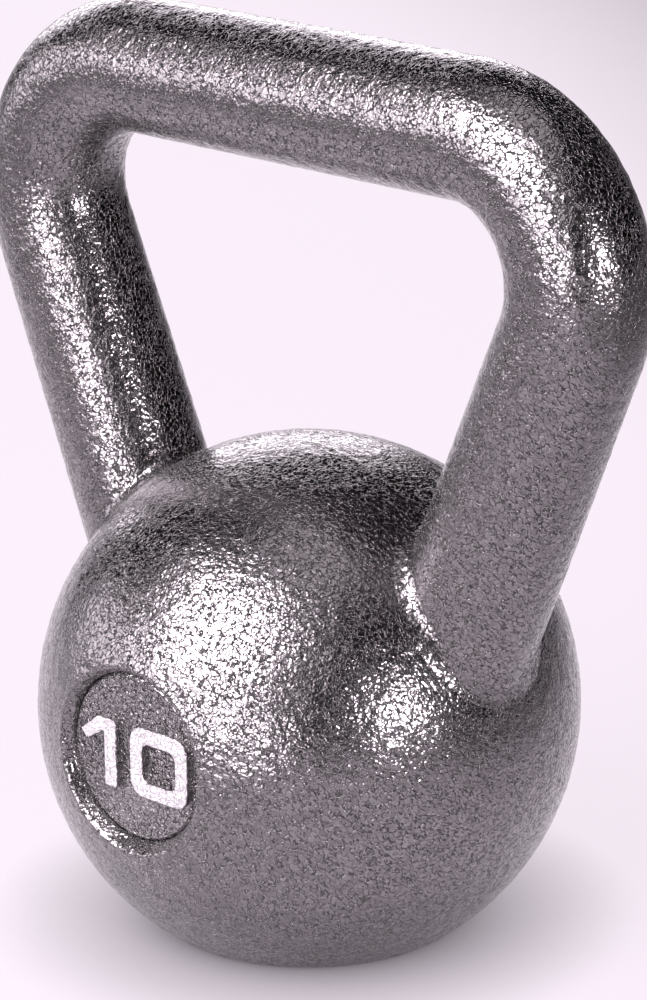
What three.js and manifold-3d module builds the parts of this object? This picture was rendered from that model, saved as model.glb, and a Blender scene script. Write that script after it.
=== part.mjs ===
// Kettlebell: a cast-iron ball, a bent round-bar handle seated in two sockets and welded round
// both roots, and a pressed-in number disc with raised numerals.
// Millimetres. The origin is the centre of the flat foot, +Z is up, +X runs along the grip,
// and the number disc faces -Y.
import * as THREE from 'three';
import { mergeVertices } from 'three/addons/utils/BufferGeometryUtils.js';
import Module from 'manifold-3d';

const wasm = await Module();
wasm.setup();

// Ball: a sphere cut off flat to make the foot.
const ballRadius = 49;
const footRadius = 27.3;
const ballCentreHeight = Math.sqrt(ballRadius ** 2 - footRadius ** 2);
const ballTurns = 56;
const ballArcSteps = 30;

// Handle: one round bar with two equal bends, a little thicker towards its roots.
const gripRadius = 12.25;
const rootRadius = 13.15;
const gripHeight = 152.1;
const cornerHalfSpan = 74.2;
const bendRadius = 24;
const legLean = THREE.MathUtils.degToRad(22.65);
const socketDepth = 18;
const barSides = 32;
const bendSteps = 11;
const legSteps = 3;

// Fillet weld round each root: its reach from the corner, along the leg and along the ball.
const weldToe = 5.5;
const weldTurns = 36;
const weldFaceSteps = 5;

// Number disc, its recess in the ball, and the numerals on it.
const discRadius = 15.1;
const discThickness = 3;
const discFace = 44;
const discRise = 1.9;
const discChamfer = 0.4;
const discTurns = 48;
const recessRimRadius = 17;
const recessRimFace = 46.4;
const numeralHeight = 13;
const numeralRelief = 1;
const numeralBevel = 0.2;
const strokeWidth = 3;

// Clearance left between neighbouring pieces.
const gap = 0.3;

const hammeredGrey = { color: 0x7a7478, roughness: 0.42, metalness: 0.65 };
const whiteEnamel = { color: 0xe8e4e6, roughness: 0.55, metalness: 0 };

const up = new THREE.Vector3(0, 0, 1);
const across = new THREE.Vector3(0, 1, 0);
const ballCentre = new THREE.Vector3(0, 0, ballCentreHeight);

// The right-hand leg, from where its axis leaves the ball to the virtual corner over the bend.
const legUp = new THREE.Vector3(Math.sin(legLean), 0, Math.cos(legLean));
const corner = new THREE.Vector3(cornerHalfSpan, 0, gripHeight);
const legSide = new THREE.Vector3().crossVectors(across, legUp);
const cornerFromBall = corner.clone().sub(ballCentre);
const legOffset = cornerFromBall.dot(legSide);
const rootAlongLeg = Math.sqrt(ballRadius ** 2 - legOffset ** 2);
const rootDrop = cornerFromBall.dot(legUp) - rootAlongLeg;
const root = corner.clone().addScaledVector(legUp, -rootDrop);
const barEnd = root.clone().addScaledVector(legUp, -socketDepth);

function merged(geometry) {
  const bare = geometry.clone();
  bare.deleteAttribute('normal');
  bare.deleteAttribute('uv');
  return mergeVertices(bare, 1e-4);
}

function toSolid(geometry) {
  const closed = merged(geometry);
  const corners = closed.index.array;
  const kept = [];
  for (let i = 0; i < corners.length; i += 3) {
    const [a, b, c] = corners.subarray(i, i + 3);
    if (a !== b && b !== c && c !== a) {
      kept.push(a, b, c);
    }
  }
  return new wasm.Manifold(new wasm.Mesh({
    numProp: 3,
    vertProperties: closed.attributes.position.array,
    triVerts: Uint32Array.from(kept),
  }));
}

function toGeometry(solid) {
  const mesh = solid.getMesh();
  const geometry = new THREE.BufferGeometry();
  geometry.setAttribute('position', new THREE.BufferAttribute(mesh.vertProperties, 3));
  geometry.setIndex(new THREE.BufferAttribute(mesh.triVerts, 1));
  return geometry;
}

function piece(name, geometry, finish) {
  const mesh = new THREE.Mesh(geometry, new THREE.MeshStandardMaterial(finish));
  mesh.name = name;
  return mesh;
}

// A closed skin through rings of points, either capped at both ends or joined end to end.
function loft(rings, joined) {
  const count = rings[0].length;
  const points = rings.flat();
  const faces = [];
  const spans = joined ? rings.length : rings.length - 1;
  for (let k = 0; k < spans; k += 1) {
    const here = k * count;
    const next = ((k + 1) % rings.length) * count;
    for (let i = 0; i < count; i += 1) {
      const j = (i + 1) % count;
      faces.push(here + i, here + j, next + j, here + i, next + j, next + i);
    }
  }
  if (!joined) {
    const last = (rings.length - 1) * count;
    for (let i = 1; i < count - 1; i += 1) {
      faces.push(0, i + 1, i, last, last + i, last + i + 1);
    }
  }
  const geometry = new THREE.BufferGeometry().setFromPoints(points);
  geometry.setIndex(faces);
  return geometry;
}

// Ball, with a foot, two blind sockets along the legs and a recess for the number disc.
function ballBlank() {
  const footAngle = -Math.acos(footRadius / ballRadius);
  const profile = [new THREE.Vector2(0, 0)];
  for (let i = 0; i <= ballArcSteps; i += 1) {
    const angle = THREE.MathUtils.lerp(footAngle, Math.PI / 2, i / ballArcSteps);
    const radius = i === ballArcSteps ? 0 : ballRadius * Math.cos(angle);
    profile.push(new THREE.Vector2(radius, ballCentreHeight + ballRadius * Math.sin(angle)));
  }
  return new THREE.LatheGeometry(profile, ballTurns).rotateX(Math.PI / 2);
}

function socketTool(side) {
  const mouthLift = ballRadius / 2;
  const depth = socketDepth + gap;
  const radius = rootRadius + gap;
  const tool = new THREE.CylinderGeometry(radius, radius, depth + mouthLift, barSides);
  tool.translate(0, (mouthLift - depth) / 2, 0);
  tool.applyQuaternion(new THREE.Quaternion().setFromUnitVectors(across, legUp));
  tool.translate(root.x, root.y, root.z);
  return side > 0 ? tool : tool.rotateZ(Math.PI);
}

function recessTool() {
  const pocketRadius = discRadius + gap;
  const outFace = ballRadius + 3;
  const flare = (recessRimRadius - pocketRadius) / (recessRimFace - discFace);
  const profile = [
    new THREE.Vector2(0, -outFace),
    new THREE.Vector2(pocketRadius + (outFace - discFace) * flare, -outFace),
    new THREE.Vector2(pocketRadius, -discFace),
    new THREE.Vector2(pocketRadius, gap + discThickness - discFace),
    new THREE.Vector2(0, gap + discThickness - discFace),
  ];
  const tool = new THREE.LatheGeometry(profile, discTurns);
  return tool.translate(0, 0, ballCentreHeight + discRise);
}

function ballGeometry() {
  let ball = toSolid(ballBlank());
  for (const tool of [socketTool(1), socketTool(-1), recessTool()]) {
    ball = ball.subtract(toSolid(tool));
  }
  return toGeometry(ball);
}

// Handle: the bar's centreline runs up one leg, round both bends and down the other leg.
function handleCentreline() {
  const bendReach = bendRadius * Math.tan((Math.PI / 2 + legLean) / 2);
  const bendX = cornerHalfSpan - bendReach;
  const bendZ = gripHeight - bendRadius;
  const path = new THREE.Path();
  path.moveTo(-barEnd.x, barEnd.z);
  path.lineTo(-bendX - bendRadius * Math.cos(legLean), bendZ - bendRadius * Math.sin(legLean));
  path.absarc(-bendX, bendZ, bendRadius, Math.PI + legLean, Math.PI / 2, true);
  path.absarc(bendX, bendZ, bendRadius, Math.PI / 2, -legLean, true);
  path.lineTo(barEnd.x, barEnd.z);
  return path;
}

function barRadiusAt(height) {
  const share = (gripHeight - Math.max(height, root.z)) / (gripHeight - root.z);
  return THREE.MathUtils.lerp(gripRadius, rootRadius, share);
}

function handleGeometry() {
  const rings = [];
  handleCentreline().curves.forEach((curve, index) => {
    const steps = curve.isEllipseCurve ? bendSteps : legSteps;
    for (let k = index === 0 ? 0 : 1; k <= steps; k += 1) {
      const centre = curve.getPoint(k / steps);
      const along = curve.getTangent(k / steps);
      const outward = new THREE.Vector3(along.y, 0, -along.x);
      const radius = barRadiusAt(centre.y);
      const ring = [];
      for (let i = 0; i < barSides; i += 1) {
        const turn = (2 * Math.PI * i) / barSides;
        const point = new THREE.Vector3(centre.x, 0, centre.y);
        point.addScaledVector(outward, radius * Math.cos(turn));
        point.addScaledVector(across, radius * Math.sin(turn));
        ring.push(point);
      }
      rings.push(ring);
    }
  });
  return loft(rings, false);
}

// Root weld: a hollow-faced bead that runs out flush on the leg and on the ball, all round.
function weldSection(turn) {
  const legRadius = rootRadius + gap;
  const skinRadius = ballRadius + gap;
  const radial = new THREE.Vector3();
  radial.addScaledVector(legSide, Math.cos(turn)).addScaledVector(across, Math.sin(turn));
  const foot = root.clone().addScaledVector(radial, legRadius).sub(ballCentre);
  const along = foot.dot(legUp);
  const rise = Math.sqrt(skinRadius ** 2 - foot.lengthSq() + along ** 2) - along;
  const crease = foot.clone().addScaledVector(legUp, rise);
  const legToe = crease.clone().addScaledVector(legUp, weldToe);
  const normal = crease.clone().normalize();
  const outward = radial.clone().addScaledVector(normal, -radial.dot(normal)).normalize();
  const swing = weldToe / skinRadius;
  const onBall = (share) => new THREE.Vector3()
    .addScaledVector(normal, skinRadius * Math.cos(swing * share))
    .addScaledVector(outward, skinRadius * Math.sin(swing * share));
  const face = new THREE.QuadraticBezierCurve3(legToe, crease, onBall(1)).getPoints(weldFaceSteps);
  return [...face, onBall(0.5), crease].map((point) => point.add(ballCentre));
}

function weldGeometry() {
  const sections = [];
  for (let i = 0; i < weldTurns; i += 1) {
    sections.push(weldSection((2 * Math.PI * i) / weldTurns));
  }
  return loft(sections, true);
}

function discGeometry() {
  const back = discThickness - discFace;
  const profile = [
    new THREE.Vector2(0, -discFace),
    new THREE.Vector2(discRadius - discChamfer, -discFace),
    new THREE.Vector2(discRadius, discChamfer - discFace),
    new THREE.Vector2(discRadius, back),
    new THREE.Vector2(0, back),
  ];
  return new THREE.LatheGeometry(profile, discTurns);
}

// Numerals, drawn facing the reader with the disc's centre at 0, 0.
function oneShape() {
  const half = numeralHeight / 2;
  const right = -4.2;
  const left = right - strokeWidth;
  const shape = new THREE.Shape();
  shape.moveTo(left, -half);
  shape.lineTo(right, -half);
  shape.lineTo(right, half - 0.4);
  shape.lineTo(left - 1.5, half - 0.4);
  shape.lineTo(-12.9, 2.7);
  shape.quadraticCurveTo(-12.9, 1, -11.4, 1);
  shape.lineTo(left, 3.6);
  shape.closePath();
  return shape;
}

function roundedBox(path, left, right, low, high, radius) {
  path.moveTo(left + radius, low);
  path.absarc(right - radius, low + radius, radius, -Math.PI / 2, 0, false);
  path.absarc(right - radius, high - radius, radius, 0, Math.PI / 2, false);
  path.absarc(left + radius, high - radius, radius, Math.PI / 2, Math.PI, false);
  path.absarc(left + radius, low + radius, radius, Math.PI, 1.5 * Math.PI, false);
  return path;
}

function zeroShape() {
  const half = numeralHeight / 2;
  const left = -0.9;
  const right = 13;
  const shape = roundedBox(new THREE.Shape(), left, right, -half, half, 3);
  const eye = [left + strokeWidth, right - strokeWidth, strokeWidth - half, half - strokeWidth];
  shape.holes.push(roundedBox(new THREE.Path(), ...eye, 1.6));
  return shape;
}

function numeralGeometry(shape) {
  const body = new THREE.ExtrudeGeometry(shape, {
    depth: numeralRelief - numeralBevel,
    bevelSize: numeralBevel,
    bevelOffset: -numeralBevel,
    bevelThickness: numeralBevel,
    bevelSegments: 1,
    curveSegments: 5,
  });
  body.translate(0, 0, numeralBevel);
  return merged(body).rotateX(Math.PI / 2);
}

const kettlebell = new THREE.Group();

const ball = piece('ball', ballGeometry(), hammeredGrey);
const handle = piece('handle', handleGeometry(), hammeredGrey);
kettlebell.add(ball, handle);

for (const [name, turn] of [['right_root_weld', 0], ['left_root_weld', Math.PI]]) {
  const weld = piece(name, weldGeometry(), hammeredGrey);
  weld.rotation.z = turn;
  kettlebell.add(weld);
}

const discCentreHeight = ballCentreHeight + discRise;
const disc = piece('number_disc', discGeometry(), hammeredGrey);
disc.position.z = discCentreHeight;
kettlebell.add(disc);

for (const [name, shape] of [['numeral_one', oneShape()], ['numeral_zero', zeroShape()]]) {
  const numeral = piece(name, numeralGeometry(shape), whiteEnamel);
  numeral.position.set(0, -discFace - gap, discCentreHeight);
  kettlebell.add(numeral);
}

export default kettlebell;
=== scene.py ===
# A small cast-iron kettlebell: ball, bent handle, two root welds, and a number disc with two
# raised numerals. Metres, +Z up, the grip along X, the disc facing -Y, the foot on z = 0.
import math

import bpy
from mathutils import Matrix, Vector


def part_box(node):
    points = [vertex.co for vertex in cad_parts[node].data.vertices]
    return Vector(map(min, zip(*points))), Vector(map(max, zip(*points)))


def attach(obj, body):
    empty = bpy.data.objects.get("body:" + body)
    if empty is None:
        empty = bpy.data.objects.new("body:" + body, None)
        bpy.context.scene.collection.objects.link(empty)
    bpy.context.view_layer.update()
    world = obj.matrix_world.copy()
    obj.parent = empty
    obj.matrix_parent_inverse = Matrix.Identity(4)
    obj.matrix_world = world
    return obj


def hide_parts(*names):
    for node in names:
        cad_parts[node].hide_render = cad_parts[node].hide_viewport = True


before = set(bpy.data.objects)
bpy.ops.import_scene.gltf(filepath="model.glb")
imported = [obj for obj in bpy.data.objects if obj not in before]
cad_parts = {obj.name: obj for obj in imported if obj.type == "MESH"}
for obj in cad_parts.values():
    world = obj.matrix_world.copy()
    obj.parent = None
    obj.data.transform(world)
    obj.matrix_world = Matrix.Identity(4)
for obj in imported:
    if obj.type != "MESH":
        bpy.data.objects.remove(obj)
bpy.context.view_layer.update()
MM = 0.001

# Ball: one grey iron casting. A sphere with a flat foot and a round recess for the number disc,
# sprayed all over with hammered enamel. The handle's sockets are not cut in it; the leg ends run
# into its solid inside.
BALL_RADIUS = 49 * MM
BALL_FACES_PER_SIDE = 116
FOOT_EDGE_ROUNDING = 0.9 * MM
DISC_RISE = 1.9 * MM
DISC_RADIUS = 15.1 * MM
DISC_FACE = 44.0 * MM
DISC_THICKNESS = 3.0 * MM
POCKET_RADIUS = DISC_RADIUS + 0.2 * MM
POCKET_FACE = DISC_FACE - DISC_THICKNESS - 0.3 * MM
RECESS_RIM_RADIUS = 17.0 * MM
RECESS_RIM_FACE = 46.4 * MM
RECESS_LIP_ROUNDING = 0.9 * MM
SEAM_HEIGHT = 0.08 * MM
RECESS_EDGE_SPREAD = 1.6 * MM
RECESS_BLEND_SPREAD = 3 * MM
FOOT_CLEAR_HEIGHT = 0.2 * MM
DIMPLE_WIDTH = 2.0 * MM
DIMPLE_DEPTH = 0.16 * MM
SMOOTH_ANGLE = math.radians(40)
PEBBLE = 0.95 * MM
PEBBLE_GREY = "#8e8a8b"
# Vein grey: partly the enamel's own darker valleys, partly painted shade in the sunken veins.
VEIN_GREY_WITH_PAINTED_SHADE = "#302e2f"

ball_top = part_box("ball")[1].z
ball_centre = Vector((0, 0, ball_top - BALL_RADIUS))
disc_centre = ball_centre + Vector((0, 0, DISC_RISE))


def start_piece():
    """Leaves nothing selected and no object in edit mode, ready for a new primitive."""
    if bpy.context.object and bpy.context.object.mode != "OBJECT":
        bpy.ops.object.mode_set(mode="OBJECT")
    bpy.ops.object.select_all(action="DESELECT")


def finish_piece(name, nodes, material):
    """Names the active object, puts its place in its mesh, and hands it to the frame."""
    piece = bpy.context.object
    bpy.ops.object.transform_apply(location=True, rotation=True, scale=True)
    piece.name = name
    piece.data.name = name
    piece.data.materials.clear()
    piece.data.materials.append(material)
    bpy.ops.object.shade_smooth_by_angle(angle=SMOOTH_ANGLE)
    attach(piece, "root")
    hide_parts(*nodes)
    return piece


def select_only(piece, mode, parts, wanted):
    """Goes into edit mode with just the wanted faces or edges of a piece selected."""
    bpy.ops.object.mode_set(mode="EDIT")
    bpy.ops.mesh.select_mode(type=mode)
    bpy.ops.mesh.select_all(action="DESELECT")
    bpy.ops.object.mode_set(mode="OBJECT")
    chosen = [part for part in parts if wanted(part)]
    for part in chosen:
        part.select = True
    bpy.ops.object.mode_set(mode="EDIT")


def soft_max(a, b, rounding):
    """The larger of two lengths, with the corner between them rounded off."""
    spread = max(rounding - abs(a - b), 0) / rounding
    return max(a, b) + spread * spread * rounding / 4


def linear(hex_colour):
    """An sRGB hex colour as linear RGBA."""
    values = [int(hex_colour[i:i + 2], 16) / 255 for i in (1, 3, 5)]
    return [v / 12.92 if v <= 0.04045 else ((v + 0.055) / 1.055) ** 2.4 for v in values] + [1]


def add_node(material, kind, settings=None, **links):
    """Adds one node. Each link is a value for an input, or the output socket that feeds it."""
    node = material.node_tree.nodes.new("ShaderNode" + kind)
    for key, value in (settings or {}).items():
        setattr(node, key, value)
    for key, value in links.items():
        name = key.replace("_", " ")
        by_number = name[0] == "i" and name[1:].isdigit()
        socket = node.inputs[int(name[1:])] if by_number else node.inputs[name]
        if isinstance(value, bpy.types.NodeSocket):
            material.node_tree.links.new(value, socket)
        else:
            socket.default_value = value
    return node


def hammered_enamel(name, light, dark, pebble=PEBBLE, relief=1.0, gloss=0.13):
    """Hammered enamel: aluminium-flake paint that draws up into pebbles as it dries. The pebbles
    are light and gently domed, the short curling veins between them sunken and dark, the dark
    partly the paint's own colour and partly painted shade where the veins sink. Light breaks up
    on them, and a clear gloss lies over both. Relief scales the heights."""
    swell_height = 0.2 * relief
    vein_depth = 0.34 * relief
    vein_gloss_loss = 0.1
    material = bpy.data.materials.new(name)
    material.use_nodes = True
    tree = material.node_tree
    shader = tree.nodes["Principled BSDF"]
    place = add_node(material, "TexCoord").outputs["Object"]
    # The cell grid is pushed about by noise, so that the veins curl instead of running straight.
    wander = add_node(material, "TexNoise", Vector=place, Scale=1 / (0.9 * pebble), Detail=1.0)
    centred = add_node(
        material, "VectorMath", {"operation": "SUBTRACT"},
        i0=wander.outputs["Color"], i1=(0.5, 0.5, 0.5))
    drift = add_node(
        material, "VectorMath", {"operation": "SCALE"},
        i0=centred.outputs[0], Scale=pebble * 1.6)
    warped = add_node(
        material, "VectorMath", {"operation": "ADD"}, i0=place, i1=drift.outputs[0])
    cells = add_node(
        material, "TexVoronoi", {"feature": "DISTANCE_TO_EDGE"},
        Vector=warped.outputs[0], Scale=1 / pebble)
    shades = add_node(
        material, "TexVoronoi", {"feature": "F1"}, Vector=warped.outputs[0], Scale=1 / pebble)
    # Pebbles rise a little unevenly, and each vein is wide in places and nearly closed in others.
    swell = add_node(
        material, "TexNoise", Vector=place, Scale=1 / (0.95 * pebble), Detail=1.5, Roughness=0.6)
    breaks = add_node(
        material, "TexNoise", Vector=place, Scale=1 / (1.1 * pebble), Detail=1.0)
    width = add_node(
        material, "MapRange", Value=breaks.outputs["Fac"], i1=0.35, i2=0.65, i3=0.035, i4=0.16)
    veins = add_node(
        material, "MapRange", {"interpolation_type": "SMOOTHSTEP"},
        Value=cells.outputs["Distance"], i1=0.0, i2=width.outputs[0])
    # Every pebble has its own tone, and the veins take the dark colour, partly the paint's own and
    # partly painted shade in the sunken veins.
    tone = add_node(material, "MapRange", Value=shades.outputs["Color"], i3=0.6, i4=1.0)
    share = add_node(
        material, "Math", {"operation": "MULTIPLY"}, i0=tone.outputs[0], i1=veins.outputs[0])
    colour = add_node(
        material, "Mix", {"data_type": "RGBA"},
        i0=share.outputs[0], i6=linear(dark), i7=linear(light))
    groove = add_node(
        material, "Math", {"operation": "MULTIPLY"}, i0=veins.outputs[0], i1=vein_depth)
    skin = add_node(
        material, "Math", {"operation": "MULTIPLY_ADD"},
        i0=swell.outputs["Fac"], i1=swell_height, i2=groove.outputs[0])
    # The clear gloss half fills the veins, so its own relief is lower than the paint's.
    bump = add_node(material, "Bump", Height=skin.outputs[0], Distance=MM, Strength=1.0)
    levelled = add_node(
        material, "Bump", Height=skin.outputs[0], Distance=MM, Strength=0.6)
    rough = add_node(
        material, "MapRange", Value=share.outputs[0], i3=gloss + vein_gloss_loss, i4=gloss)
    links = tree.links
    links.new(colour.outputs[2], shader.inputs["Base Color"])
    links.new(rough.outputs[0], shader.inputs["Roughness"])
    links.new(bump.outputs[0], shader.inputs["Normal"])
    shader.inputs["Metallic"].default_value = 1.0
    links.new(levelled.outputs[0], shader.inputs["Coat Normal"])
    shader.inputs["Coat Weight"].default_value = 0.8
    shader.inputs["Coat Roughness"].default_value = 0.22
    return material


def dimple(piece, flat_height=-1):
    """Presses the enamel's slow unevenness into the mesh, except on faces at or below a height."""
    skin = piece.vertex_groups.new(name="uneven_skin")
    free = [v.index for v in piece.data.vertices if v.co.z > flat_height]
    skin.add(free, 1, "REPLACE")
    pattern = bpy.data.textures.new("uneven_enamel", "CLOUDS")
    pattern.noise_scale = DIMPLE_WIDTH
    pattern.noise_depth = 0
    press = piece.modifiers.new("uneven_enamel", "DISPLACE")
    press.texture = pattern
    press.texture_coords = "LOCAL"
    press.strength = DIMPLE_DEPTH
    press.vertex_group = skin.name
    bpy.ops.object.modifier_apply(modifier=press.name)
    piece.vertex_groups.clear()


def recess_face(reach):
    """How far forward of the ball's centre the recess lies, at a distance from the disc's axis."""
    slope = (RECESS_RIM_FACE - DISC_FACE) / (RECESS_RIM_RADIUS - POCKET_RADIUS)
    if reach < POCKET_RADIUS:
        return POCKET_FACE
    return DISC_FACE + (reach - POCKET_RADIUS) * slope


start_piece()
bpy.ops.mesh.primitive_cube_add(size=2)
ball = bpy.context.object
bpy.ops.object.mode_set(mode="EDIT")
bpy.ops.mesh.subdivide(number_cuts=BALL_FACES_PER_SIDE // 4 - 1)
bpy.ops.mesh.subdivide(number_cuts=3)
bpy.ops.object.mode_set(mode="OBJECT")
for vertex in ball.data.vertices:
    spread = Vector(math.tan(c * math.pi / 4) for c in vertex.co)
    on_seam = abs(spread.y) < 0.001
    vertex.co = spread.normalized() * (BALL_RADIUS + SEAM_HEIGHT * on_seam)


def round_the_recess(face):
    """Whether a face of the ball lies where the recess has its edges."""
    reach = math.hypot(face.center.x, face.center.z - DISC_RISE)
    return (face.center.y < 0
            and POCKET_RADIUS - MM < reach < RECESS_RIM_RADIUS + RECESS_EDGE_SPREAD)


select_only(ball, "FACE", ball.data.polygons, round_the_recess)
bpy.ops.mesh.subdivide(number_cuts=2)
bpy.ops.object.mode_set(mode="OBJECT")
for vertex in ball.data.vertices:
    point = vertex.co.copy()
    if point.y < -BALL_RADIUS / 2:
        point = point.normalized() * BALL_RADIUS
    reach = math.hypot(point.x, point.z - DISC_RISE)
    if point.y < 0 and reach < RECESS_RIM_RADIUS + RECESS_BLEND_SPREAD:
        point.y = soft_max(point.y, -recess_face(reach), RECESS_LIP_ROUNDING)
    point.z = soft_max(point.z, -ball_centre.z, FOOT_EDGE_ROUNDING)
    vertex.co = point + ball_centre
dimple(ball, FOOT_CLEAR_HEIGHT)
# Sprayed hammered enamel: dark veins round light pebbles, their darkness partly the paint's own
# and partly painted shade, glinting where the light rakes it.
ball_enamel = hammered_enamel("hammered_grey_enamel_on_iron", PEBBLE_GREY, VEIN_GREY_WITH_PAINTED_SHADE)
finish_piece("iron_ball", ["ball"], ball_enamel)

# Handle: one length of round steel bar, bent twice while hot and a little thicker where it was
# upset at the roots. Both ends stand in the ball's sockets. Same enamel as the ball.
GRIP_RADIUS = 12.25 * MM
ROOT_RADIUS = 13.15 * MM
CORNER_HALF_SPAN = 74.2 * MM
BEND_RADIUS = 24 * MM
LEG_LEAN = math.radians(22.65)
SOCKET_DEPTH = 18 * MM
BAR_SIDES = 144
RING_SPACING = 0.6 * MM
STRAIGHT_CUTS = 11

grip_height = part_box("handle")[1].z - GRIP_RADIUS
leg_up = Vector((math.sin(LEG_LEAN), 0, math.cos(LEG_LEAN)))
leg_side = Vector((math.cos(LEG_LEAN), 0, -math.sin(LEG_LEAN)))
corner = Vector((CORNER_HALF_SPAN, 0, grip_height))
corner_from_ball = corner - ball_centre
root_along = math.sqrt(BALL_RADIUS ** 2 - corner_from_ball.dot(leg_side) ** 2)
root = corner - leg_up * (corner_from_ball.dot(leg_up) - root_along)
bar_end = root - leg_up * SOCKET_DEPTH
bend_reach = BEND_RADIUS * math.tan((math.pi / 2 + LEG_LEAN) / 2)
bend_centre = Vector((CORNER_HALF_SPAN - bend_reach, 0, grip_height - BEND_RADIUS))
bend_start = bend_centre + leg_side * BEND_RADIUS


def nearest_on_bar(point):
    """The point of the bar's centreline that lies nearest."""
    spot = Vector((abs(point.x), 0, point.z))
    around = spot - bend_centre
    leg_length = (bend_start - root).length
    on_grip = Vector((min(spot.x, bend_centre.x), 0, grip_height))
    on_leg = root + leg_up * min((spot - root).dot(leg_up), leg_length)
    choices = [on_grip, on_leg]
    if around.x > 0 and around.dot(leg_up) > 0:
        choices.append(bend_centre + around.normalized() * BEND_RADIUS)
    near = min(choices, key=lambda choice: (choice - spot).length)
    return Vector((math.copysign(near.x, point.x), 0, near.z))


def bar_radius(height):
    """The bar's radius where its centreline stands at this height."""
    drop = (grip_height - max(height, root.z)) / (grip_height - root.z)
    return GRIP_RADIUS + (ROOT_RADIUS - GRIP_RADIUS) * drop


start_piece()
bpy.ops.mesh.primitive_circle_add(
    vertices=BAR_SIDES, radius=GRIP_RADIUS, fill_type="NGON",
    location=(-bar_end.x, 0, bar_end.z), rotation=(0, -LEG_LEAN, 0))
handle = bpy.context.object
bpy.ops.object.transform_apply(location=True, rotation=True, scale=True)
leg_step = Vector((-leg_up.x, 0, leg_up.z)) * (bend_start - bar_end).length
bend_turn = math.pi / 2 + LEG_LEAN
bpy.ops.object.mode_set(mode="EDIT")
bpy.ops.mesh.select_all(action="SELECT")
bpy.ops.mesh.extrude_region_move(TRANSFORM_OT_translate={"value": leg_step})
bpy.ops.mesh.spin(
    steps=round(BEND_RADIUS * bend_turn / RING_SPACING), angle=-bend_turn,
    center=(-bend_centre.x, 0, bend_centre.z), axis=(0, 1, 0))
bpy.ops.mesh.extrude_region_move(TRANSFORM_OT_translate={"value": (2 * bend_centre.x, 0, 0)})
bpy.ops.mesh.spin(
    steps=round(BEND_RADIUS * bend_turn / RING_SPACING), angle=-bend_turn,
    center=bend_centre, axis=(0, 1, 0))
leg_step = -leg_up * (bend_start - bar_end).length
bpy.ops.mesh.extrude_region_move(TRANSFORM_OT_translate={"value": leg_step})
bpy.ops.object.mode_set(mode="OBJECT")


def lengthwise(edge):
    """Whether an edge runs a good way along the bar."""
    a, b = (nearest_on_bar(handle.data.vertices[i].co) for i in edge.vertices)
    return (a - b).length > 2 * MM


for halving in range(2):
    select_only(handle, "EDGE", handle.data.edges, lengthwise)
    bpy.ops.mesh.subdivide(number_cuts=STRAIGHT_CUTS)
    bpy.ops.object.mode_set(mode="OBJECT")
for vertex in handle.data.vertices:
    near = nearest_on_bar(vertex.co)
    vertex.co = near + (vertex.co - near) * bar_radius(near.z) / GRIP_RADIUS
dimple(handle, root.z)
# The same spray coat, carried round the bar: long broken highlights along the grip and legs.
handle_enamel = hammered_enamel("hammered_grey_enamel_on_steel", PEBBLE_GREY, VEIN_GREY_WITH_PAINTED_SHADE)
finish_piece("bent_bar_handle", ["handle"], handle_enamel)

# Root welds: a fillet bead round each leg where it enters the ball, dressed smooth and hollow
# so that leg and ball run together, then enamelled with the rest.
WELD_TOE = 5.5 * MM
WELD_LEG_TOE = 3.6 * MM
WELD_SINK = 0.15 * MM
WELD_DEPTH = 1.0 * MM
WELD_TURNS = 200
WELD_FACE_STEPS = 26
WELD_BACK_STEPS = 10
across = Vector((0, 1, 0))


def weld_section(turn):
    """One closed slice of the bead: its hollow face, then its two hidden flanks."""
    leg_radius = ROOT_RADIUS - WELD_SINK
    skin_radius = BALL_RADIUS - WELD_SINK
    radial = leg_side * math.cos(turn) + across * math.sin(turn)
    start = root + radial * leg_radius - ball_centre
    along = start.dot(leg_up)
    rise = math.sqrt(skin_radius ** 2 - start.length_squared + along ** 2) - along
    crease = start + leg_up * rise
    toe_height = root.z + (rise + WELD_LEG_TOE) * leg_up.z
    leg_toe = (root - ball_centre + leg_up * (rise + WELD_LEG_TOE)
               + radial * (bar_radius(toe_height) - WELD_SINK))
    normal = crease.normalized()
    outward = (radial - normal * radial.dot(normal)).normalized()
    swing = WELD_TOE / skin_radius
    ball_toe = (normal * math.cos(swing) + outward * math.sin(swing)) * skin_radius
    heart = crease - (normal + radial) * WELD_DEPTH
    slice_points = []
    for step in range(WELD_FACE_STEPS + 1):
        t = step / WELD_FACE_STEPS
        slice_points.append(
            leg_toe * (1 - t) ** 2 + crease * 2 * t * (1 - t) + ball_toe * t * t)
    for a, b in ((ball_toe, heart), (heart, leg_toe)):
        for step in range(1 if a is ball_toe else 0, WELD_BACK_STEPS // 2):
            slice_points.append(a.lerp(b, step / (WELD_BACK_STEPS // 2)))
    return [ball_centre + p for p in slice_points]


start_piece()
sections = [weld_section(2 * math.pi * i / WELD_TURNS) for i in range(WELD_TURNS)]
bpy.ops.mesh.primitive_torus_add(
    major_segments=WELD_TURNS, minor_segments=len(sections[0]),
    major_radius=ROOT_RADIUS + WELD_TOE / 2, minor_radius=WELD_TOE / 2)
weld = bpy.context.object
for vertex, place in zip(weld.data.vertices, (p for s in sections for p in s)):
    vertex.co = place
bpy.ops.object.mode_set(mode="EDIT")
bpy.ops.mesh.select_all(action="SELECT")
bpy.ops.mesh.normals_make_consistent(inside=False)
bpy.ops.object.mode_set(mode="OBJECT")
dimple(weld)
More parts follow.
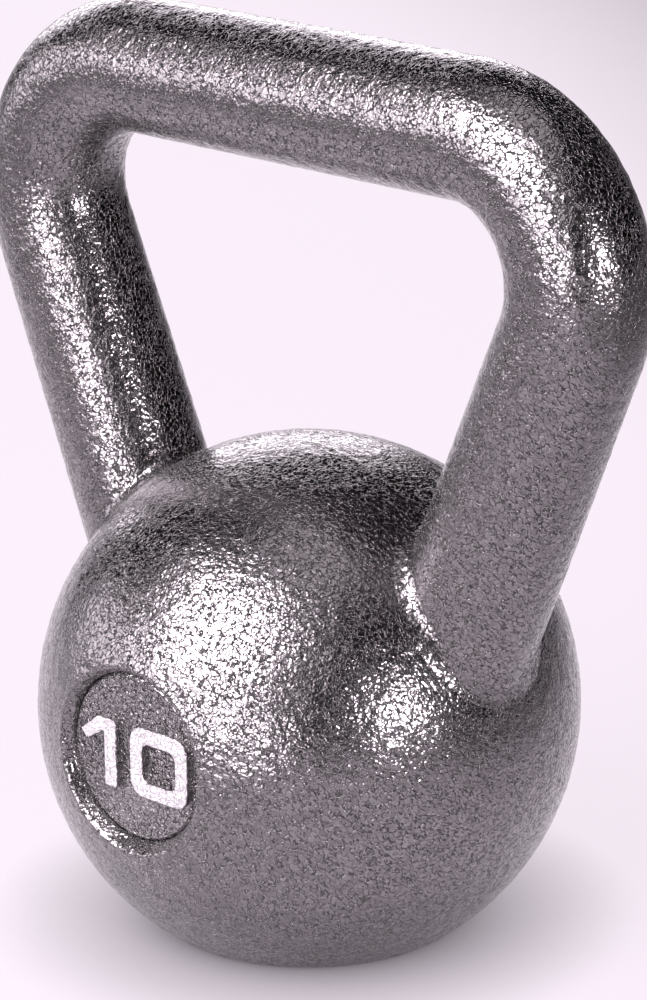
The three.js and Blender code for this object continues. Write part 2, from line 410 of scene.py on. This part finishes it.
# The same coat again, lying in the hollow of the bead, where it catches a bright curved streak.
weld_enamel = hammered_enamel("hammered_grey_enamel_on_weld", PEBBLE_GREY, VEIN_GREY_WITH_PAINTED_SHADE)
other_weld = weld.copy()
other_weld.data = weld.data.copy()
other_weld.data.transform(Matrix.Rotation(math.pi, 4, "Z"))
bpy.context.collection.objects.link(other_weld)
for bead, side in ((weld, "right"), (other_weld, "left")):
    start_piece()
    bead.select_set(True)
    bpy.context.view_layer.objects.active = bead
    finish_piece(side + "_weld_bead", [side + "_root_weld"], weld_enamel)

# Number disc: a turned iron disc with a chamfered edge, pressed into the ball's recess. Its face
# carries the same enamel, laid on thinner, so that it dries in finer and rougher pebbles.
DISC_SIDES = 180
DISC_CHAMFER = 0.4 * MM
DISC_RING = 0.5 * MM
DISC_PEBBLE = 0.8 * MM

start_piece()
bpy.ops.mesh.primitive_circle_add(
    vertices=DISC_SIDES, radius=DISC_RADIUS, fill_type="NGON",
    location=disc_centre - across * (DISC_FACE - DISC_THICKNESS), rotation=(math.pi / 2, 0, 0))
disc = bpy.context.object
bpy.ops.object.transform_apply(location=True, rotation=True, scale=True)
bpy.ops.object.mode_set(mode="EDIT")
bpy.ops.mesh.select_mode(type="FACE")
bpy.ops.mesh.select_all(action="SELECT")
bpy.ops.mesh.extrude_region_move(
    TRANSFORM_OT_translate={"value": -across * (DISC_THICKNESS - DISC_CHAMFER)})
bpy.ops.mesh.inset(thickness=DISC_CHAMFER, depth=DISC_CHAMFER)
for ring in range(int((DISC_RADIUS - DISC_CHAMFER) / DISC_RING) - 1):
    bpy.ops.mesh.inset(thickness=DISC_RING)
bpy.ops.mesh.poke()
bpy.ops.mesh.select_all(action="SELECT")
bpy.ops.mesh.normals_make_consistent(inside=False)
bpy.ops.object.mode_set(mode="OBJECT")
# Thin hammered enamel: small sharp pebbles that sparkle all over instead of shining in one place.
# Its dark veins, as on the ball, are partly the paint's own colour and partly painted shade.
disc_enamel = hammered_enamel(
    "fine_hammered_enamel_on_iron", "#a39fa0", "#363435", pebble=DISC_PEBBLE, relief=2.2)
finish_piece("pressed_in_disc", ["number_disc"], disc_enamel)

# Numerals: a raised one and zero on the disc's face, flat on top with soft edges. They are
# enamelled grey with the disc, and then rolled with white, which stays on top of them.
NUMERAL_HEIGHT = 13 * MM
NUMERAL_RELIEF = 1.3 * MM
NUMERAL_EDGE = 0.35 * MM
STROKE = 3 * MM
ZERO_LEFT = -0.4 * MM
ZERO_RIGHT = 13.5 * MM
ZERO_CORNER = 3 * MM
EYE_CORNER = 1.6 * MM
WHITE_DEPTH = 0.3 * MM
WHITE_FADE = 0.12 * MM
WHITE_RAGGEDNESS = 0.5 * MM
WHITE_RAG_WIDTH = 0.7 * MM


def raise_numeral():
    """Thickens the flat outline that is selected, and rounds its front edges."""
    bpy.ops.mesh.select_mode(type="FACE")
    bpy.ops.mesh.select_all(action="SELECT")
    bpy.ops.mesh.extrude_region_move(TRANSFORM_OT_translate={"value": -across * NUMERAL_RELIEF})
    bpy.ops.mesh.region_to_loop()
    bpy.ops.mesh.bevel(offset=NUMERAL_EDGE, segments=4)
    bpy.ops.mesh.select_all(action="SELECT")
    bpy.ops.mesh.normals_make_consistent(inside=False)
    bpy.ops.object.mode_set(mode="OBJECT")


def roll_white_on(material, front):
    """Plain white enamel put on with a roller: satin, opaque, and a little ragged at its edge.
    It lies over everything in front of a plane."""
    tree = material.node_tree
    shader = tree.nodes["Principled BSDF"]
    place = add_node(material, "TexCoord").outputs["Object"]
    forward = add_node(material, "SeparateXYZ", Vector=place).outputs["Y"]
    wobble = add_node(material, "TexNoise", Vector=place, Scale=1 / WHITE_RAG_WIDTH, Detail=2.0)
    edge = add_node(
        material, "Math", {"operation": "MULTIPLY_ADD"},
        i0=wobble.outputs["Fac"], i1=WHITE_RAGGEDNESS, i2=forward)
    paint = add_node(
        material, "MapRange", Value=edge.outputs[0],
        i1=front + WHITE_DEPTH, i2=front + WHITE_DEPTH + WHITE_FADE, i3=1.0, i4=0.0).outputs[0]
    base = shader.inputs["Base Color"].links[0].from_socket
    colour = add_node(
        material, "Mix", {"data_type": "RGBA"}, i0=paint, i6=base, i7=linear("#b9b4b8"))
    metal = add_node(material, "MapRange", Value=paint, i3=1.0, i4=0.0)
    under = shader.inputs["Roughness"].links[0].from_socket
    rough = add_node(material, "Mix", {"data_type": "FLOAT"}, i0=paint, i2=under, i3=0.4)
    tree.links.new(colour.outputs[2], shader.inputs["Base Color"])
    tree.links.new(metal.outputs[0], shader.inputs["Metallic"])
    tree.links.new(rough.outputs[0], shader.inputs["Roughness"])
    return material


def add_outline(left, right, low, high, rounding):
    """Adds a rounded box on the disc's face, seen from the front."""
    bpy.ops.mesh.primitive_plane_add(size=1)
    flat = bpy.context.object
    flat.scale = (right - left, high - low, 1)
    flat.rotation_euler = (math.pi / 2, 0, 0)
    flat.location = disc_centre + Vector(((left + right) / 2, -DISC_FACE, (low + high) / 2))
    bpy.ops.object.transform_apply(location=True, rotation=True, scale=True)
    bpy.ops.object.mode_set(mode="EDIT")
    bpy.ops.mesh.select_all(action="SELECT")
    bpy.ops.mesh.bevel(offset=rounding, segments=8, affect="VERTICES")
    bpy.ops.mesh.delete(type="ONLY_FACE")
    bpy.ops.object.mode_set(mode="OBJECT")
    return flat


half = NUMERAL_HEIGHT / 2
start_piece()
outer = add_outline(ZERO_LEFT, ZERO_RIGHT, -half, half, ZERO_CORNER)
start_piece()
eye = add_outline(
    ZERO_LEFT + STROKE, ZERO_RIGHT - STROKE, STROKE - half, half - STROKE, EYE_CORNER)
outer.select_set(True)
bpy.ops.object.join()
bpy.ops.object.mode_set(mode="EDIT")
bpy.ops.mesh.select_mode(type="EDGE")
bpy.ops.mesh.select_all(action="SELECT")
bpy.ops.mesh.bridge_edge_loops()
raise_numeral()
numeral_enamel = roll_white_on(
    hammered_enamel("white_enamel_on_iron", PEBBLE_GREY, VEIN_GREY_WITH_PAINTED_SHADE),
    -DISC_FACE - NUMERAL_RELIEF)
finish_piece("raised_zero", ["numeral_zero"], numeral_enamel)

ONE_OUTLINE = [(-6.75, -6.5), (-3.75, -6.5), (-3.75, 6.1), (-8.25, 6.1), (-12.45, 2.7),
               (-10.95, 1.0), (-6.75, 3.6)]
ONE_CORNER = 0.5 * MM
start_piece()
bpy.ops.mesh.primitive_circle_add(vertices=len(ONE_OUTLINE), fill_type="NGON")
one = bpy.context.object
for vertex, (x, z) in zip(one.data.vertices, ONE_OUTLINE):
    vertex.co = disc_centre + Vector((x * MM, -DISC_FACE, z * MM))
bpy.ops.object.mode_set(mode="EDIT")
bpy.ops.mesh.select_all(action="SELECT")
bpy.ops.mesh.bevel(offset=ONE_CORNER, segments=4, affect="VERTICES")
raise_numeral()
finish_piece("raised_one", ["numeral_one"], numeral_enamel)

# Studio: a pale paper floor that glows with a painted pool of light and a painted contact shadow,
# softboxes at the front left and the right, a dim panel overhead, a light far behind, and the
# camera. None of it belongs to the part.
VIEW_AZIMUTH = 42.99
VIEW_ELEVATION = 18.21
VIEW_ROLL = -0.557
VIEW_DISTANCE = 15.4855 * BALL_RADIUS
AIM_HEIGHT = 0.7742 * BALL_RADIUS
AIM_SIDE = 0.0591 * BALL_RADIUS
LENS = 153.45
FLOOR_RADIUS = 6
POOL_BACK = 0.26
POOL_LEFT = 0.09
POOL_SIZE = (0.42, 1.5, 1.0)
SHADOW_REACH = 30 * MM
SURROUND_STRENGTH = 0.015


def toward(azimuth, elevation):
    """The direction from the kettlebell to something at this azimuth and elevation."""
    a, e = math.radians(azimuth), math.radians(elevation)
    return Vector((math.sin(a) * math.cos(e), -math.cos(a) * math.cos(e), math.sin(e)))


back = toward(VIEW_AZIMUTH, VIEW_ELEVATION)
right = Vector((math.cos(math.radians(VIEW_AZIMUTH)), math.sin(math.radians(VIEW_AZIMUTH)), 0))
aim = ball_centre + Vector((0, 0, AIM_HEIGHT)) + right * AIM_SIDE
start_piece()
bpy.ops.object.camera_add(location=aim + back * VIEW_DISTANCE)
camera = bpy.context.object
camera.data.lens = LENS
camera.data.clip_start = 0.01
turn = (-back).to_track_quat("-Z", "Y").to_matrix()
camera.rotation_euler = (turn @ Matrix.Rotation(math.radians(VIEW_ROLL), 3, "Z")).to_euler()
bpy.context.scene.camera = camera

start_piece()
bpy.ops.mesh.primitive_circle_add(vertices=96, radius=FLOOR_RADIUS, fill_type="NGON")
floor = bpy.context.object
floor.name = "floor"
# Seamless background paper: matt and near white. It glows though it is no lamp, in a painted pool
# of light brightest round the kettlebell, dimmed by a painted contact shadow close under it.
floor_paper = bpy.data.materials.new("pale_paper_with_painted_light")
floor_paper.use_nodes = True
paper = floor_paper.node_tree.nodes["Principled BSDF"]
paper.inputs["Roughness"].default_value = 0.9
spot = add_node(floor_paper, "TexCoord").outputs["Object"]
# Painted pool of light: the paper's glow is brightest round a spot near the kettlebell and falls
# off from it.
pool = add_node(
    floor_paper, "Mapping", {"vector_type": "TEXTURE"}, Vector=spot,
    Location=-back * POOL_BACK - right * POOL_LEFT,
    Rotation=(0, 0, math.radians(VIEW_AZIMUTH)), Scale=POOL_SIZE)
falloff = add_node(
    floor_paper, "TexGradient", {"gradient_type": "SPHERICAL"}, Vector=pool.outputs[0])
glow = add_node(
    floor_paper, "MapRange", {"interpolation_type": "SMOOTHSTEP"},
    Value=falloff.outputs["Fac"], i2=0.62, i3=0.12, i4=0.85)
# Painted contact shadow: ambient occlusion dims the glow where the paper lies close under the
# kettlebell.
painted_contact_shadow = add_node(floor_paper, "AmbientOcclusion", Distance=SHADOW_REACH)
shade = add_node(
    floor_paper, "MapRange", Value=painted_contact_shadow.outputs["AO"], i1=0.0, i2=0.85, i3=0.1, i4=1.0)
level = add_node(
    floor_paper, "Math", {"operation": "MULTIPLY"}, i0=glow.outputs[0], i1=shade.outputs[0])
paper.inputs["Base Color"].default_value = linear("#3c3a3d")
paper.inputs["Emission Color"].default_value = linear("#fff4ff")
# The paper glows, though it is no lamp, and so also lights the kettlebell from below.
floor_paper.node_tree.links.new(level.outputs[0], paper.inputs["Emission Strength"])
floor.data.materials.append(floor_paper)


def softbox(name, azimuth, elevation, distance, width, height, power, colour):
    """A rectangular lamp facing the ball: angles in degrees, sizes in metres, power in watts."""
    start_piece()
    direction = toward(azimuth, elevation)
    bpy.ops.object.light_add(type="AREA", location=ball_centre + direction * distance)
    light = bpy.context.object
    light.name = name
    light.rotation_euler = direction.to_track_quat("Z", "Y").to_euler()
    light.data.shape = "RECTANGLE"
    light.data.size = width
    light.data.size_y = height
    light.data.energy = power
    light.data.color = colour
    light.visible_camera = False
    return light


studio_white = linear("#fff6ff")[:3]
softbox("key_softbox", VIEW_AZIMUTH - 50, 37, 0.9, 1.55, 1.05, 7, studio_white)
softbox("key_lamp", VIEW_AZIMUTH - 50, 40, 0.88, 0.75, 0.62, 15.5, studio_white)
softbox("side_softbox", VIEW_AZIMUTH + 38, 12, 1.1, 0.27, 0.27, 8, studio_white)
softbox("low_panel", VIEW_AZIMUTH - 30, 3, 1.2, 0.8, 0.3, 7, studio_white)
softbox("left_panel", VIEW_AZIMUTH - 85, 12, 1.2, 2.0, 0.5, 8, studio_white)
softbox("top_panel", VIEW_AZIMUTH, 80, 1.2, 0.8, 0.8, 2, studio_white)
softbox("backdrop_light", VIEW_AZIMUTH + 190, 15, 2.2, 1.6, 0.8, 15, studio_white)

world = bpy.data.worlds.new("studio")
bpy.context.scene.world = world
world.use_nodes = True
surround = world.node_tree.nodes["Background"]
surround.inputs["Color"].default_value = linear("#f4e9f5")
surround.inputs["Strength"].default_value = SURROUND_STRENGTH
bpy.context.scene.view_settings.view_transform = "Standard"
